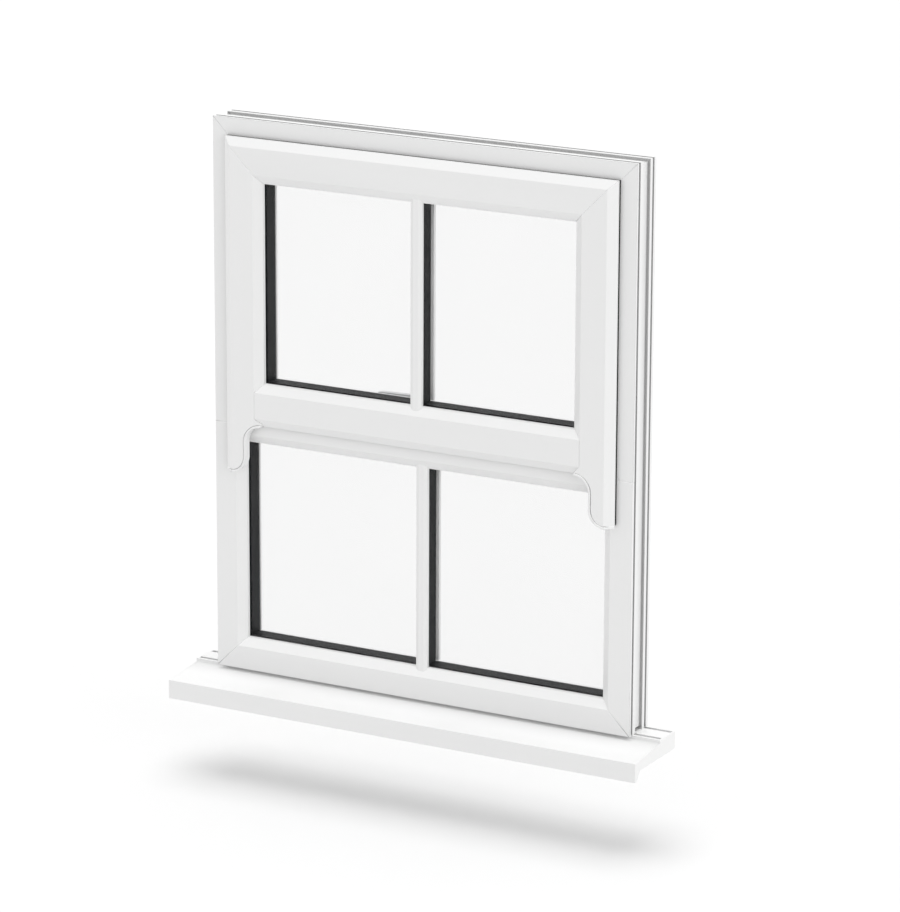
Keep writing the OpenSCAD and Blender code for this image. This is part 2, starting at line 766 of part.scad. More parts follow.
module horn_bar(grow) {
  along_left(zv + lip_reveal - horn_drop - grow, zv + s_flat0) horn_section();
}
module horn() {
  shank_end = horn_tip - horn_cove_r;
  difference() {
    intersection() {
      horn_bar(0);
      translate([-hw, 0, 0]) facing(s_face, lip_back) union() {
        horn_outline(0);
        polygon([
          [lip_reveal, zv + lip_reveal], [horn_tip - horn_cove_r, zv + lip_reveal],
          [horn_tip - horn_cove_r, zv + lip_reveal + horn_rise], [horn_tip, zv + lip_reveal + horn_rise],
          [s_flat1, zv + s_flat0], [lip_reveal, zv + s_flat0]
        ]);
      }
    }
    along_left(zv + lip_reveal - horn_drop, zv + s_flat0 + over) sash_face_chamber(shank_end - wall);
  }
}
module sash_stile_left() {
  z_foot = zv + s_edge;
  color(pvc) {
    difference() {
      intersection() {
        along_left(zv + s_flat0, z1) sash_outline();
        facing(s_face - over, s_back + over) polygon([
          [lip_reveal - hw, z1 - lip_reveal], [s_sight - hw, z1 - s_sight], [s_sight - hw, zv + s_sight],
          [s_flat1 - hw, zv + s_flat1], [s_flat1 - hw, zv + s_flat0], [lip_reveal - hw, zv + s_flat0]
        ]);
      }
      translate([-hw, lip_back, zv]) cube([s_sight, sash_depth, s_edge]);
      along_left(zv + s_flat0 - over, z1) sash_face_chamber(s_floor - wall);
      along_left(z_foot + wall, z1) sash_main_chamber();
    }
    horn();
  }
}
module sash_stile_right() {
  right_hand() sash_stile_left();
}
module horn_cap_left() {
  color(pvc) difference() {
    intersection() {
      union() {
        horn_bar(horn_cap_t);
        translate([0, -horn_cap_proud, 0]) horn_bar(horn_cap_t);
      }
      translate([-hw, 0, 0]) facing(s_face - horn_cap_proud, lip_back) difference() {
        horn_outline(horn_cap_t);
        horn_outline(0);
      }
    }
    translate([-hw, 0, 0]) facing(s_face - over - horn_cap_proud, s_face + 4 * horn_seam)
      horn_outline(horn_seam);
  }
}
module horn_cap_right() {
  right_hand() horn_cap_left();
}
module sash_top_rail() {
  color(pvc) intersection() {
    along_head(z1) sash_section();
    facing(s_face - over, s_back + over) polygon(head_piece(upper, lip_reveal, s_sight));
  }
}
module sash_bottom_rail() {
  half = [
    [hw - s_sight, zv + lip_reveal], [hw - s_flat1, zv + s_flat0], [hw - s_flat1, zv + s_flat1],
    [hw - s_sight, zv + s_sight]
  ];
  other = [for (i = [len(half) - 1 : -1 : 0]) [-half[i][0], half[i][1]]];
  color(pvc) difference() {
    intersection() {
      along_foot(zv) sash_section();
      facing(s_face - over, s_back + over) polygon(concat(half, other));
    }
    translate([handle_x - lug_l / 2 - slot_play, groove_v - lug_w, zv + s_edge])
      cube([lug_l + rod_travel + 2 * slot_play, 2 * lug_w, groove_d + wall + over]);
    translate([handle_x, s_back + over, z_spindle]) rotate([90, 0, 0])
      cylinder(d = spindle_hole_d, h = wall + 2 * over);
    screw_holes(s_back - wall - over, s_back + over, screw_d);
  }
}
module sash_reinforcement() {
  gear_end = gearbox_l / 2 + stay_end;
  gear_free = [
    [s_flat1 - hw + stay_end, handle_x - gear_end], [handle_x + gear_end, hw - s_flat1 - stay_end]];
  color(steel) {
    between(s_sight, zv, z1) along_head(z1) sash_steel();
    for (side = [0, 1]) mirror([side, 0, 0]) along_left(zv + s_sight, z1 - s_sight) sash_steel();
    for (ends = gear_free) intersection() {
      along_foot(zv) sash_steel();
      translate([ends[0], s_face, zv]) cube([ends[1] - ends[0], sash_depth, s_sight]);
    }
  }
}
module sash_steel() {
  steel_channel(s_chamber_u, s_floor - wall, lip_back, s_back - wall);
}

// upper light, glazed in the sash
module upper_outer_pane() { pane(upper, s_floor, s_glass); }
module upper_inner_pane() { pane(upper, s_floor, s_glass_in - pane_t); }
module upper_spacer_frame() { spacer_frame(upper, s_sight, s_floor, s_glass, s_glass_in); }
module upper_dummy_spacer() { dummy_spacer(upper, s_sight, s_glass, s_glass_in); }
module upper_outer_bar() { outer_bar(upper, s_sight, s_glass, s_face, sash_bevel_w, glass_bevel_d); }
module upper_inner_bar() { inner_bar(upper, s_sight, s_glass_in); }
module upper_outer_gasket() { outer_gasket(upper, s_sight, s_floor, s_glass); }
module upper_bead_gasket() { bead_gasket(upper, s_sight, s_floor, s_glass_in); }
module upper_packers() { packers(upper, s_floor, s_glass, s_glass_in); }
module upper_bead() { bead_section(s_sight, s_floor, s_glass_in, sash_bead_d); }
s_bead = s_sight + bead_over;
module upper_bead_top() { bead(head_piece(upper, s_floor, s_bead)) along_head(z1) upper_bead(); }
module upper_bead_bottom() { bead(foot_piece(upper, s_floor, s_bead)) along_foot(zv) upper_bead(); }
module upper_bead_left() { bead(left_piece(upper, s_floor, s_bead)) along_left(zv, z1) upper_bead(); }
module upper_bead_right() { right_hand() upper_bead_left(); }

// seal just behind the edge of the sash's lip, against the frame's flat face, and on behind the horns
module sash_seal() {
  edge = lip_reveal + seal_set;
  color(black) {
    ring(upper, edge, edge + lip_gap, lip_back, -seal_gap);
    for (side = [0, 1]) mirror([side, 0, 0]) translate([edge - hw, lip_back, zv + edge - horn_drop])
      cube([lip_gap, lip_gap - seal_gap, horn_drop + lip_gap / 2]);
  }
}

// lock: gearbox in the bottom rail's chamber, rod in its groove
module lock_gearbox() {
  height = gear_top - s_chamber_u;
  color(zinc) translate([handle_x, 0, 0]) difference() {
    translate([-gearbox_l / 2, groove_v - stay_w / 2, zv + s_chamber_u]) cube([gearbox_l, stay_w, height]);
    translate([-lug_l / 2 - slot_play, groove_v - lug_w, zv + s_chamber_u - over])
      cube([lug_l + rod_travel + 2 * slot_play, 2 * lug_w, lug_rise + over]);
    translate([0, groove_v + stay_w, z_spindle]) rotate([90, 0, 0])
      cylinder(d = spindle_w * sqrt(2) + 2 * slide_gap, h = 2 * stay_w);
  }
}
module lock_rod() {
  w = groove_w - 2 * slide_gap;
  color(steel) {
    translate([-rod_l / 2, groove_v - w / 2, rod_z0]) cube([rod_l, w, rod_z1 - rod_z0]);
    translate([handle_x - lug_l / 2, groove_v - lug_w / 2, rod_z0])
      cube([lug_l, lug_w, groove_d + wall + lug_rise - 2 * slide_gap]);
    for (x = [-cam_pitch / 2, cam_pitch / 2]) translate([x, groove_v, cam_z]) {
      cylinder(d = cam_head_d, h = cam_head_t);
      cylinder(d = cam_d, h = rod_z0 - cam_z + fit_gap);
    }
  }
}

// handle: base plate screwed along the rail, lever that lies along it when shut
plate_x1 = handle_x + plate_end;
plate_x0 = plate_x1 + plate_w - plate_l;
screw_x = [plate_x0 + screw_d, plate_x1];
module screw_holes(y0, y1, d) {
  for (x = screw_x) translate([x, y1, z_spindle]) rotate([90, 0, 0]) cylinder(d = d, h = y1 - y0);
}
module handle_base() {
  color(zinc) difference() {
    union() {
      translate([plate_x0, s_back, z_spindle - plate_w / 2]) cube([plate_x1 - plate_x0, plate_t, plate_w]);
      for (x = [plate_x0, plate_x1]) translate([x, s_back + plate_t, z_spindle]) rotate([90, 0, 0])
        cylinder(d = plate_w, h = plate_t);
    }
    translate([handle_x, s_back + plate_t + over, z_spindle]) rotate([90, 0, 0])
      cylinder(d = boss_d + 2 * pivot_fit, h = plate_t + 2 * over);
    screw_holes(s_back - over, s_back + plate_t + over, screw_d);
    screw_holes(s_back + plate_t - screw_d / 2, s_back + plate_t + over, 2 * screw_d);
  }
}
module handle_screws() {
  color(steel) {
    screw_holes(s_back - wall - over, s_back + plate_t - screw_d / 2, screw_d);
    screw_holes(s_back + plate_t - screw_d / 2, s_back + plate_t - fit_gap, 2 * screw_d);
  }
}
module handle_lever() {
  tip = lever_tip_w / 2;
  hub = lever_hub_d / 2;
  color(zinc) translate([handle_x, 0, z_spindle]) {
    facing(lever_y0, lever_y0 + lever_t) union() {
      circle(d = lever_hub_d);
      translate([tip - lever_l, 0]) circle(d = lever_tip_w);
      polygon([[0, hub], [tip - lever_l, tip], [tip - lever_l, -tip], [0, -hub]]);
    }
    facing(s_back + plate_t + slide_gap, lever_y0 + lever_t) circle(d = lever_hub_d - 4 * slide_gap);
    facing(s_back + slide_gap, lever_y0) circle(d = boss_d);
    facing(groove_v - stay_w / 2 + slide_gap, s_back + plate_t) square(spindle_w, center = true);
  }
}

frame_head();
frame_bottom_rail();
frame_transom();
frame_jamb_left_upper();
frame_jamb_left_lower();
frame_jamb_right_upper();
frame_jamb_right_lower();
frame_reinforcement();
cill();
cill_end_cap_left();
cill_end_cap_right();
lower_outer_pane();
lower_inner_pane();
lower_spacer_frame();
lower_dummy_spacer();
lower_outer_bar();
lower_inner_bar();
lower_outer_gasket();
lower_bead_top();
lower_bead_bottom();
lower_bead_left();
lower_bead_right();
lower_bead_gasket();
lower_packers();
frame_seal();
lock_keeps();
stay_track_left();
stay_track_right();
short_arm_left();
short_arm_right();
long_arm_left();
long_arm_right();
sash_top_rail();
sash_bottom_rail();
sash_stile_left();
sash_stile_right();
horn_cap_left();
horn_cap_right();
sash_reinforcement();
upper_outer_pane();
upper_inner_pane();
upper_spacer_frame();
upper_dummy_spacer();
upper_outer_bar();
upper_inner_bar();
upper_outer_gasket();
upper_bead_top();
upper_bead_bottom();
upper_bead_left();
upper_bead_right();
upper_bead_gasket();
upper_packers();
sash_seal();
stay_bar_left();
stay_bar_right();
lock_gearbox();
lock_rod();
handle_base();
handle_screws();
handle_lever();
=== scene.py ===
# %% [markdown]
# # A mock-sash window
# The window is a white PVC-U frame on a projecting cill. Its upper light is a sash that swings out
# from the top, with horns below its bottom rail, and its lower light is fixed. The solids come from
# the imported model, one object for each real piece, in metres. This lesson gives them worked edges,
# finishes, light and a camera.

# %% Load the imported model
import json
import math

import bmesh
import bpy
from mathutils import Matrix, Vector

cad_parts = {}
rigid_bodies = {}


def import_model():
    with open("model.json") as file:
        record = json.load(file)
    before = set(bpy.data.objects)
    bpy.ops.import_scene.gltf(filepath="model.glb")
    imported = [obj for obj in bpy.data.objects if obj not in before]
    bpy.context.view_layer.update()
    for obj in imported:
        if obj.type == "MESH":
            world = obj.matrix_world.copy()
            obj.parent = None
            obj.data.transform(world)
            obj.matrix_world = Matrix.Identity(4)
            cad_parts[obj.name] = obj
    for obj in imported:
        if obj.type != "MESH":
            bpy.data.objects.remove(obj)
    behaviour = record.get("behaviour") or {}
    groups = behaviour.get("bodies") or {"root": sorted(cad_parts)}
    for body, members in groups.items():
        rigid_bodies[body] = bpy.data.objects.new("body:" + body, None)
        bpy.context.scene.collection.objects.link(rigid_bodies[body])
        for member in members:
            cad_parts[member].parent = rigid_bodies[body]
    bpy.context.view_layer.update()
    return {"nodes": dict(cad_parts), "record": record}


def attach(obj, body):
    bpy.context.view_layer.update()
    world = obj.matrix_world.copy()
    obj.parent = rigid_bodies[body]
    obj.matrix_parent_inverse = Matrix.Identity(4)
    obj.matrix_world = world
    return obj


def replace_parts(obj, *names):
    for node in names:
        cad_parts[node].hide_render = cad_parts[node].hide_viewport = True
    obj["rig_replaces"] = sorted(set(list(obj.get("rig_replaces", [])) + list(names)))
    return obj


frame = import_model()
NODES = frame["nodes"]
BODIES = frame["record"]["behaviour"]["bodies"]
BODY_OF = {node: body for body, members in BODIES.items() for node in members}
SLOT_OF = {part["node"]: part["material_slot"] for part in frame["record"]["subparts"]}
MM = 0.001

# %% [markdown]
# ## Camera
# The view is a long lens from the right, a little above the window. Its place was worked out from
# the straight edges of the frame and the cill, so the edges here fall where they should. A camera
# looks along its own -Z, so its axes are built from the direction back to it, then rolled a little.

# %% Camera at the viewing angle
TARGET = Vector((0.0412, 0.035, 0.4723))
AZIMUTH, ELEVATION, ROLL = 0.5027, 0.268, 0.004
DISTANCE, LENS_MM, SENSOR_MM = 8.002, 182.7, 36.0
FAR = 100.0

back = Vector((
    math.sin(AZIMUTH) * math.cos(ELEVATION),
    -math.cos(AZIMUTH) * math.cos(ELEVATION),
    math.sin(ELEVATION),
))
right = Vector((0, 0, 1)).cross(back).normalized()
up = back.cross(right)
turned_right = right * math.cos(ROLL) + up * math.sin(ROLL)
turned_up = back.cross(turned_right)

camera = bpy.data.objects.new("camera", bpy.data.cameras.new("camera"))
bpy.context.scene.collection.objects.link(camera)
camera.data.sensor_width = SENSOR_MM
camera.data.lens = LENS_MM
camera.data.clip_end = FAR
axes = Matrix((turned_right, turned_up, back)).transposed()
camera.matrix_world = Matrix.Translation(TARGET + back * DISTANCE) @ axes.to_4x4()
bpy.context.scene.camera = camera
print("camera at", [round(c, 3) for c in camera.location])

# %% [markdown]
# ## Wiring a finish
# A finish is a small network of nodes. Written one node at a time it is hard to read, so one class
# wraps a socket: arithmetic on it adds Math nodes, and one method adds any other node.


# %% A socket that can be used in sums
class Wire:
    def __init__(self, tree, socket=None):
        self.tree = tree
        self.socket = socket

    def node(self, kind, settings=None, inputs=None, out=0):
        made = self.tree.nodes.new("ShaderNode" + kind)
        for name, value in (settings or {}).items():
            setattr(made, name, value)
        for name, value in (inputs or {}).items():
            if isinstance(value, Wire):
                self.tree.links.new(value.socket, made.inputs[name])
            else:
                made.inputs[name].default_value = value
        return Wire(self.tree, made.outputs[out] if made.outputs else None)

    def math(self, operation, first, second):
        return self.node("Math", {"operation": operation}, {0: first, 1: second})

    def __add__(self, other):
        return self.math("ADD", self, other)

    def __radd__(self, other):
        return self.math("ADD", other, self)

    def __sub__(self, other):
        return self.math("SUBTRACT", self, other)

    def __rsub__(self, other):
        return self.math("SUBTRACT", other, self)

    def __mul__(self, other):
        return self.math("MULTIPLY", self, other)

    def __rmul__(self, other):
        return self.math("MULTIPLY", other, self)


def begin(name):
    material = bpy.data.materials.new(name)
    material.use_nodes = True
    material.node_tree.nodes.clear()
    return material, Wire(material.node_tree)


def end(material, wire, inputs):
    surface = wire.node("BsdfPrincipled", inputs=inputs)
    wire.node("OutputMaterial", inputs={"Surface": surface})
    print("finish", material.name, "with", len(material.node_tree.nodes), "nodes")
    return material


def grain(wire, stretch, detail=2.0):
    """Noise whose cells are as long as 1 / stretch metres along each axis."""
    place = wire.node("TexCoord", out="Object")
    scaled = wire.node("Mapping", {"vector_type": "POINT"}, {"Vector": place, "Scale": stretch})
    return wire.node("TexNoise", inputs={"Vector": scaled, "Scale": 1.0, "Detail": detail})


def blend(wire, amount, first, second):
    """A colour between two others, by their numbered sockets on the Mix node."""
    return wire.node("Mix", {"data_type": "RGBA"}, {0: amount, 6: first, 7: second}, out=2)


def grey(level):
    return (level, level, level, 1.0)


def even(cells):
    """The same number of noise cells to the metre along each axis."""
    return (cells, cells, cells)


# %% [markdown]
# ## White PVC-U
# Window profiles are drawn through a die, so their skin has faint lines along their length, and the
# gloss changes a little from place to place. The lines are noise stretched along the run, so rails
# and stiles need a finish each. The colour stays close to one white, with a slight mottle. The
# narrow grooves round the frame's outer edge and the hollows under the lips of the wide channel are
# greyed as painted shade, standing in for the shade that falls in them. They are found by their place:
# a little way in from the edge, away from the two faces, and not in the open middle of the channel.

# %% PVC-U finishes for the two runs
PVC_WHITE = (0.815, 0.815, 0.812, 1.0)
PVC_SHADE = (0.795, 0.797, 0.797, 1.0)
PVC_GLOSS, LINE_GLOSS, MOTTLE_GLOSS = 0.24, 0.10, 0.08
PVC_MOTTLE, LINE_BUMP, LINE_DEPTH = 7.0, 0.12, 0.00004
# Painted shade: the grey laid into the grooves, and how much of it covers the white.
GROOVE_SHADE_GREY = grey(0.30)
GROOVE_SHADE_COVER = 0.48
GROOVE_START_MM, GROOVE_END_MM, GROOVE_SIDE_MM = 0.15, 9.0, 1.5
CHANNEL_OPEN_MM = 25.0

head_points = [vertex.co for vertex in NODES["frame_head"].data.vertices]
foot_points = [vertex.co for vertex in NODES["frame_bottom_rail"].data.vertices]
HALF_WIDTH = max(point.x for point in head_points)
DEPTH = max(point.y for point in head_points)
TOP, BOTTOM = max(point.z for point in head_points), min(point.z for point in foot_points)
print("frame is", round(2 * HALF_WIDTH, 4), "wide and", round(TOP - BOTTOM, 4), "high")


def groove_shade_mask(wire):
    """1 inside the grooves that run round the frame's outer edge, where shade is painted, 0 elsewhere."""
    place = wire.node("TexCoord", out="Object")
    x, y, z = (wire.node("SeparateXYZ", inputs={"Vector": place}, out=axis) for axis in range(3))
    side = HALF_WIDTH - wire.math("ABSOLUTE", x, 0.0)
    inwards = wire.math("MINIMUM", side, wire.math("MINIMUM", TOP - z, z - BOTTOM))
    past_lip = wire.math("GREATER_THAN", inwards, GROOVE_START_MM * MM)
    near_edge = wire.math("LESS_THAN", inwards, GROOVE_END_MM * MM)
    behind_face = wire.math("GREATER_THAN", y, GROOVE_SIDE_MM * MM)
    before_room = wire.math("LESS_THAN", y, DEPTH - GROOVE_SIDE_MM * MM)
    off_middle = wire.math("ABSOLUTE", y - DEPTH / 2, 0.0)
    under_lip = wire.math("GREATER_THAN", off_middle, CHANNEL_OPEN_MM / 2 * MM)
    return past_lip * near_edge * behind_face * before_room * under_lip


def pvc_finish(name, stretch):
    material, wire = begin(name)
    lines = grain(wire, stretch)
    mottle = grain(wire, even(PVC_MOTTLE), detail=3.0)
    unshaded_tone = blend(wire, mottle, PVC_WHITE, PVC_SHADE)
    # Painted shade: the colour is greyed inside the grooves.
    colour = blend(wire, groove_shade_mask(wire) * GROOVE_SHADE_COVER, unshaded_tone, GROOVE_SHADE_GREY)
    gloss = PVC_GLOSS + lines * LINE_GLOSS + mottle * MOTTLE_GLOSS
    skin = wire.node("Bump", inputs={"Strength": LINE_BUMP, "Distance": LINE_DEPTH, "Height": lines})
    return end(material, wire, {"Base Color": colour, "Roughness": gloss, "Normal": skin})


LINE, RUN = 420.0, 1.5
pvc_level = pvc_finish("pvc_level", (RUN, LINE, LINE))
pvc_upright = pvc_finish("pvc_upright", (LINE, LINE, RUN))

# %% [markdown]
# ## Moulded caps, rubber and the handle's coat
# The horn caps and cill caps are moulded, not drawn, so their skin is an even fine texture. Seals
# and spacers are black and nearly matt, so they take less of the surroundings' reflection. The
# handle is cast metal under a silver coat, which dries with a shallow orange-peel ripple.

# %% Moulded plastic, rubber and coated metal
MOULD_MOTTLE, MOULD_GLOSS, MOULD_BUMP = 11.0, 0.10, 0.15


def even_finish(name, light, dark, cells, rough, depth, shine=0.5):
    material, wire = begin(name)
    fine = grain(wire, even(cells))
    mottle = grain(wire, even(MOULD_MOTTLE), detail=3.0)
    colour = blend(wire, mottle, light, dark)
    skin = wire.node("Bump", inputs={"Strength": MOULD_BUMP, "Distance": depth, "Height": fine})
    gloss = rough + mottle * MOULD_GLOSS
    return end(material, wire, {
        "Base Color": colour, "Roughness": gloss, "Normal": skin, "Specular IOR Level": shine})


SILVER, SILVER_SHADE = (0.58, 0.585, 0.59, 1.0), (0.54, 0.545, 0.55, 1.0)
SPACER_BLACK, SPACER_SHADE = (0.003, 0.003, 0.004, 1.0), (0.006, 0.006, 0.007, 1.0)
moulded = even_finish("moulded_white", PVC_WHITE, PVC_SHADE, cells=900.0, rough=0.30, depth=0.00004)
coated = even_finish("silver_coat", SILVER, SILVER_SHADE, cells=260.0, rough=0.24, depth=0.00008)
gasket = even_finish("white_gasket", grey(0.87), grey(0.83), cells=700.0, rough=0.45, depth=0.00005)
spacer = even_finish(
    "black_spacer", SPACER_BLACK, SPACER_SHADE, cells=500.0, rough=0.50, depth=0.00006, shine=0.20)
seal = even_finish(
    "black_seal", grey(0.010), grey(0.018), cells=400.0, rough=0.55, depth=0.00006, shine=0.3)
packer = even_finish("black_packer", grey(0.030), grey(0.045), cells=300.0, rough=0.50, depth=0.00006)

# %% [markdown]
# ## Bare metal
# The stays, screws, lock rod and bars in the chambers are steel with a brushed skin. The keeps and
# the gearbox are cast zinc, which is duller and a little cloudy. Metal takes its colour from what it
# reflects, so the finish varies its roughness most and its colour only a little.

# %% Steel and zinc
METAL_CLOUD, BRUSH_BUMP, BRUSH_DEPTH = 30.0, 0.2, 0.00003
BRUSH, BRUSH_RUN, CAST = 900.0, 12.0, 240.0


def metal_finish(name, light, dark, stretch, rough, spread):
    material, wire = begin(name)
    brushed = grain(wire, stretch, detail=3.0)
    cloud = grain(wire, even(METAL_CLOUD), detail=2.0)
    colour = blend(wire, cloud, light, dark)
    skin = wire.node("Bump", inputs={"Strength": BRUSH_BUMP, "Distance": BRUSH_DEPTH, "Height": brushed})
    gloss = rough + brushed * spread
    return end(material, wire, {
        "Base Color": colour, "Metallic": 1.0, "Roughness": gloss, "Normal": skin})


steel_upright = metal_finish(
    "brushed_steel", light=(0.62, 0.63, 0.64, 1.0), dark=(0.54, 0.55, 0.56, 1.0),
    stretch=(BRUSH, BRUSH, BRUSH_RUN), rough=0.26, spread=0.16)
steel_level = metal_finish(
    "rod_steel", light=(0.60, 0.60, 0.61, 1.0), dark=(0.52, 0.53, 0.54, 1.0),
    stretch=(BRUSH_RUN, BRUSH, BRUSH), rough=0.28, spread=0.16)
zinc = metal_finish(
    "cast_zinc", light=(0.56, 0.57, 0.58, 1.0), dark=(0.46, 0.47, 0.48, 1.0),
    stretch=even(CAST), rough=0.38, spread=0.14)

# %% [markdown]
# ## Glass
# Clear float glass seen nearly straight on is almost invisible: it takes a few hundredths of the
# light and gives a weak reflection. A mostly see-through surface does this and still lets light
# reach the room side. A trace of haze changes over the pane, as on glass that was wiped clean.

# %% Clear glass
GLASS_TINT, GLASS_IOR = (0.06, 0.07, 0.07, 1.0), 1.5
GLASS_GLOSS, HAZE_GLOSS = 0.02, 0.02
GLASS_COVER, HAZE_COVER, HAZE_CELLS = 0.024, 0.006, 5.0
glass, wire = begin("clear_glass")
haze = grain(wire, even(HAZE_CELLS), detail=3.0)
gloss = GLASS_GLOSS + haze * HAZE_GLOSS
cover = GLASS_COVER + haze * HAZE_COVER
glass = end(glass, wire, {"Base Color": GLASS_TINT, "Roughness": gloss, "Alpha": cover, "IOR": GLASS_IOR})

# %% [markdown]
# ## Which finish goes where
# Every piece carries the name of a material slot. Rails, the transom, the cill and the level beads
# run along X, and the rest of the drawn pieces run along Z.

# %% Finish by slot and run
LEVEL_WORDS = ("head", "rail", "transom", "cill", "bead_top", "bead_bottom")
MOULDED_WORDS = ("cap",)
FINISH_OF_SLOT = {
    "gasket": gasket, "seal": seal, "glass": glass, "spacer": spacer, "packer": packer,
    "steel": steel_upright, "zinc": zinc, "handle": coated,
}
print(len(FINISH_OF_SLOT), "slots take one finish each, and pvc takes one by its run")


def finish_for(node):
    if any(word in node for word in MOULDED_WORDS):
        return moulded
    if node == "lock_rod":
        return steel_level
    if SLOT_OF[node] == "pvc":
        return pvc_level if any(word in node for word in LEVEL_WORDS) else pvc_upright
    return FINISH_OF_SLOT[SLOT_OF[node]]


def paint(piece, material):
    piece.data.materials.clear()
    piece.data.materials.append(material)


# %% [markdown]
# ## Worked edges
# No real profile has a knife edge. A die leaves a small radius, a welded corner is cleaned to a fine
# groove, and a sheared steel arm is deburred. Those radii catch the light and draw every piece. Each
# edge says by its weight how much it is rounded: in full at a weld, by a share elsewhere, and not at
# all in a hollow. How far a face's normal lies along an axis tells which way the face looks.

# %% How much each edge is rounded
SHARP = math.radians(28.0)
WELD_MM, HAIRLINE_MM, NEAR_MM = 1.3, 0.2, 0.2
THIN_MM, HANDLE_THIN_MM = 1.5, 0.92
DIAGONAL, MITRE_SLACK = math.sqrt(0.5), 0.005
SQUARE, TO_ROOM, TO_FACE = 0.999, 0.9, 0.3
HANDLE_PIECES = ("handle_base", "handle_lever")


def end_x(node):
    """How far out the square-cut ends of a level bar are."""
    faces = NODES[node].data.polygons
    return max(abs(face.center.x) for face in faces if abs(face.normal.x) > SQUARE)


BUTT_X = end_x("sash_bottom_rail")
JOINT_X = end_x("cill")
print("rail butts at", round(BUTT_X, 4), "and cill meets its caps at", round(JOINT_X, 4))


def on_weld(face, node):
    """True for the cut end of a bar that is welded to the next one."""
    nx, nz = abs(face.normal.x), abs(face.normal.z)
    mitre = abs(nx - DIAGONAL) < MITRE_SLACK and abs(nz - DIAGONAL) < MITRE_SLACK
    butt = nx > SQUARE and abs(abs(face.calc_center_median().x) - BUTT_X) < NEAR_MM * MM
    return mitre or ("jamb" in node and nz > SQUARE) or ("sash" in node and butt)


def on_cap_joint(edge, node):
    """True where the cill meets an end cap, which shows as a hairline."""
    return "cill" in node and all(abs(abs(vert.co.x) - JOINT_X) < NEAR_MM * MM for vert in edge.verts)


def width_of(face):
    return face.calc_area() / max(edge.calc_length() for edge in face.edges)


def weight_of(edge, node, share):
    """1 along a weld that shows, the share on an outside edge, and 0 elsewhere."""
    if len(edge.link_faces) != 2 or edge.calc_face_angle(0.0) < SHARP or not edge.is_convex:
        return 0.0
    ends = [on_weld(face, node) for face in edge.link_faces]
    if all(ends):
        return 0.0
    if any(ends):
        beside = edge.link_faces[0] if ends[1] else edge.link_faces[1]
        return 1.0 if abs(beside.normal.y) > TO_FACE else 0.0
    if on_cap_joint(edge, node):
        return HAIRLINE_MM / WELD_MM
    width = min(width_of(face) for face in edge.link_faces)
    if node in HANDLE_PIECES:
        to_room = any(face.normal.y > TO_ROOM for face in edge.link_faces)
        return share if to_room and width > HANDLE_THIN_MM * MM else 0.0
    return share if width > THIN_MM * MM else 0.0


# %% [markdown]
# ## Rounded copies
# A copy of each solid is merged and its flat faces are joined, so that an edge is one line and not a
# row of short ones. Then a Bevel modifier rounds its edges by their weights. The copy takes the place
# of the solid and moves with the same body.

# %% Copies with rounded edges
FLAT = math.radians(1.0)
MERGE_MM = 0.005


def eased(node, radius_mm, steps=2):
    """A copy of a solid with its edges rounded, which stands in its place."""
    shape = bmesh.new()
    shape.from_mesh(NODES[node].data)
    bmesh.ops.remove_doubles(shape, verts=shape.verts, dist=MERGE_MM * MM)
    bmesh.ops.dissolve_limit(shape, angle_limit=FLAT, verts=shape.verts, edges=shape.edges)
    weight = shape.edges.layers.float.new("bevel_weight_edge")
    for edge in shape.edges:
        edge[weight] = weight_of(edge, node, min(1.0, radius_mm / WELD_MM))
    for face in shape.faces:
        face.smooth = True
    mesh = bpy.data.meshes.new(node + "_eased")
    shape.to_mesh(mesh)
    shape.free()
    mesh.set_sharp_from_angle(angle=SHARP)
    piece = bpy.data.objects.new(node + "_eased", mesh)
    bpy.context.scene.collection.objects.link(piece)
    rounding = piece.modifiers.new("rounding", "BEVEL")
    rounding.width = max(radius_mm, WELD_MM) * MM
    rounding.segments = steps
    rounding.limit_method = "WEIGHT"
    rounding.use_clamp_overlap = False
    rounding.harden_normals = True
    paint(piece, finish_for(node))
    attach(piece, BODY_OF[node])
    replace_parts(piece, node)


PVC_PIECES = [node for node in NODES if SLOT_OF[node] == "pvc"]
METAL_PIECES = [node for node in NODES if SLOT_OF[node] in ("steel", "zinc")]
EDGE_RADII = {
    0.5: [node for node in PVC_PIECES if "bead" not in node and "cap" not in node],
    0.6: [node for node in PVC_PIECES if "bead_" in node],
    1.2: ["horn_cap_left", "horn_cap_right"],
    0.7: ["cill_end_cap_left", "cill_end_cap_right"],
    0.8: ["upper_outer_gasket", "lower_outer_gasket", "upper_bead_gasket", "lower_bead_gasket"],
    0.3: [node for node in METAL_PIECES if "reinforcement" not in node],
}
for radius_mm, members in EDGE_RADII.items():
    for node in members:
        eased(node, radius_mm)
    print("rounded", len(members), "pieces to", radius_mm, "mm")

# %% [markdown]
# ## The handle
# The room side has a lever handle: a long plate on the rail and a cranked lever over it. Both are
# castings, rounded generously on the edges that a hand meets, round their ends too. The small facets
# of the screw holes are narrower than those of the ends, so the width of a facet tells them apart.

# %% Handle with soft edges
PLATE_EASE_MM, LEVER_EASE_MM, HANDLE_STEPS = 2.0, 2.5, 4
eased("handle_base", PLATE_EASE_MM, HANDLE_STEPS)
eased("handle_lever", LEVER_EASE_MM, HANDLE_STEPS)
print("rounded the handle's plate and lever")

# %% [markdown]
# ## Pieces that keep their solid
# Glass, spacers, seals, packers and the steel inside the chambers are right as they are, so they
# only get a finish.

# %% Finish on the remaining solids
stood_for = {name for piece in bpy.data.objects for name in piece.get("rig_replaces", [])}
for node, solid in NODES.items():
    if node not in stood_for:
        paint(solid, finish_for(node))
print("finished", len(NODES) - len(stood_for), "solids as they are")

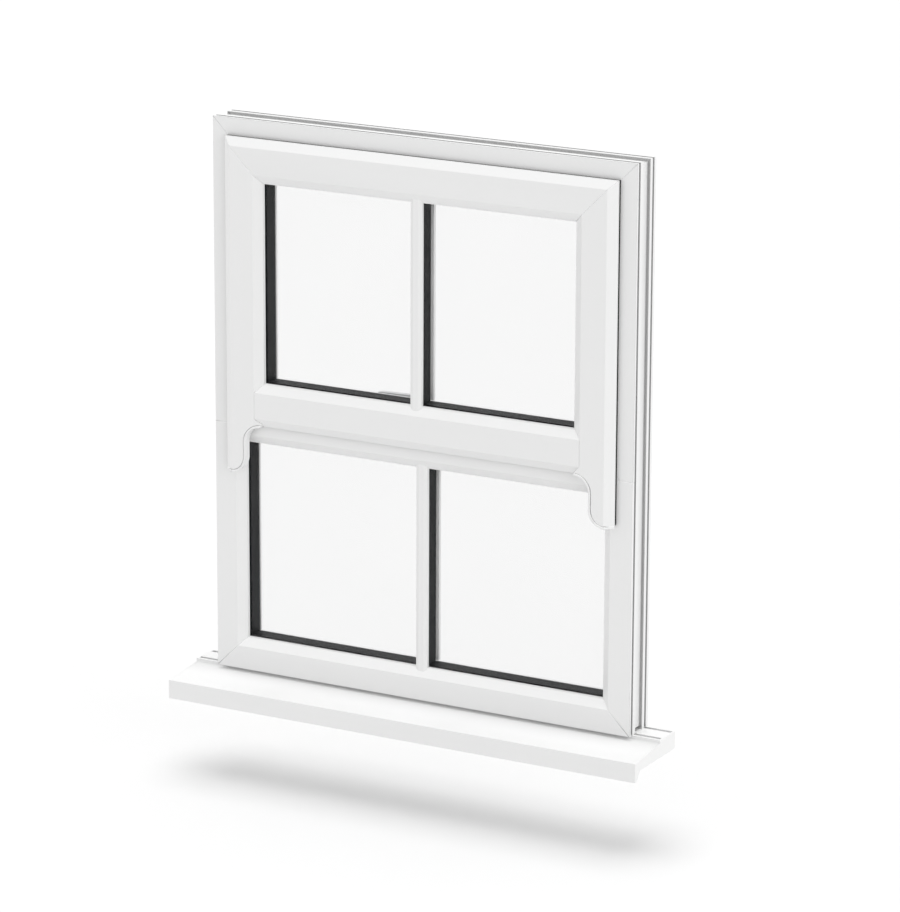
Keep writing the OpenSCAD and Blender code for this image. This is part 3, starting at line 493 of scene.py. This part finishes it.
# %% [markdown]
# ## Floor, light and background
# The window hangs a hand's breadth above a white floor and leaves a soft shadow on it. The floor that
# the camera sees is a shade lighter than the one that bounces light, so the undersides stay a little
# darker than the tops. Most of the light is an even sky, which darkens gaps by itself. A wide sun
# overhead lifts the tops. Only the cill, its caps and the rail on it block that sun, so the cill's
# top stays bright under the tall frame and a soft shadow falls on the floor. A second sun lifts the
# right-hand side.

# %% Floor
FLOOR_Z, FLOOR_HALF = -0.157, 60.0
FLOOR_SEEN, FLOOR_BOUNCE = grey(0.815), grey(0.79)
RAY_OUTPUTS = ("Is Camera Ray", "Is Glossy Ray", "Is Transmission Ray")
plane = bmesh.new()
bmesh.ops.create_grid(plane, x_segments=1, y_segments=1, size=FLOOR_HALF)
bmesh.ops.translate(plane, verts=plane.verts, vec=(0, 0, FLOOR_Z))
floor_mesh = bpy.data.meshes.new("floor")
plane.to_mesh(floor_mesh)
plane.free()
floor = bpy.data.objects.new("floor", floor_mesh)
bpy.context.scene.collection.objects.link(floor)


def straight_rays(wire):
    """1 for what the camera sees, also in a reflection or through glass."""
    camera_ray, glossy_ray, through_ray = (wire.node("LightPath", out=ray) for ray in RAY_OUTPUTS)
    return camera_ray + glossy_ray + through_ray


material, wire = begin("white_floor")
colour = blend(wire, straight_rays(wire), FLOOR_BOUNCE, FLOOR_SEEN)
lit = wire.node("BsdfDiffuse", inputs={"Color": colour})
wire.node("OutputMaterial", inputs={"Surface": lit})
paint(floor, material)
print("floor at", FLOOR_Z)

# %% Sky and suns
SKY = 0.80
world = bpy.data.worlds.new("sky")
bpy.context.scene.world = world
world.use_nodes = True
world.node_tree.nodes.clear()
wire = Wire(world.node_tree)
sky = wire.node("Background", inputs={"Color": grey(1.0), "Strength": SKY})
white = wire.node("Background", inputs={"Color": grey(1.0), "Strength": 1.0})
mixed = wire.node("MixShader", inputs={0: straight_rays(wire), 1: sky, 2: white})
wire.node("OutputWorld", inputs={"Surface": mixed})


def sun(name, towards, strength, softness):
    """A sun that shines from the direction given, with a disc as wide as softness in degrees."""
    light = bpy.data.lights.new(name, "SUN")
    light.energy = strength * math.pi
    light.angle = math.radians(softness)
    holder = bpy.data.objects.new(name, light)
    bpy.context.scene.collection.objects.link(holder)
    holder.matrix_world = Vector(towards).to_track_quat("Z", "Y").to_matrix().to_4x4()
    print("sun", name, strength)
    return holder


SHADE_WORDS = ("cill", "frame_bottom_rail")
shade = bpy.data.collections.new("casts_top_shadow")
for piece in bpy.data.objects:
    if any(word in node for node in piece.get("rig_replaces", []) for word in SHADE_WORDS):
        shade.objects.link(piece)
sun_above = sun("sun_above", towards=(-0.12, 0.06, 1.0), strength=0.41, softness=55.0)
sun_above.light_linking.blocker_collection = shade
sun("sun_right", towards=(1.0, -0.25, 0.10), strength=0.33, softness=60.0)

bpy.context.scene.view_settings.view_transform = "Standard"
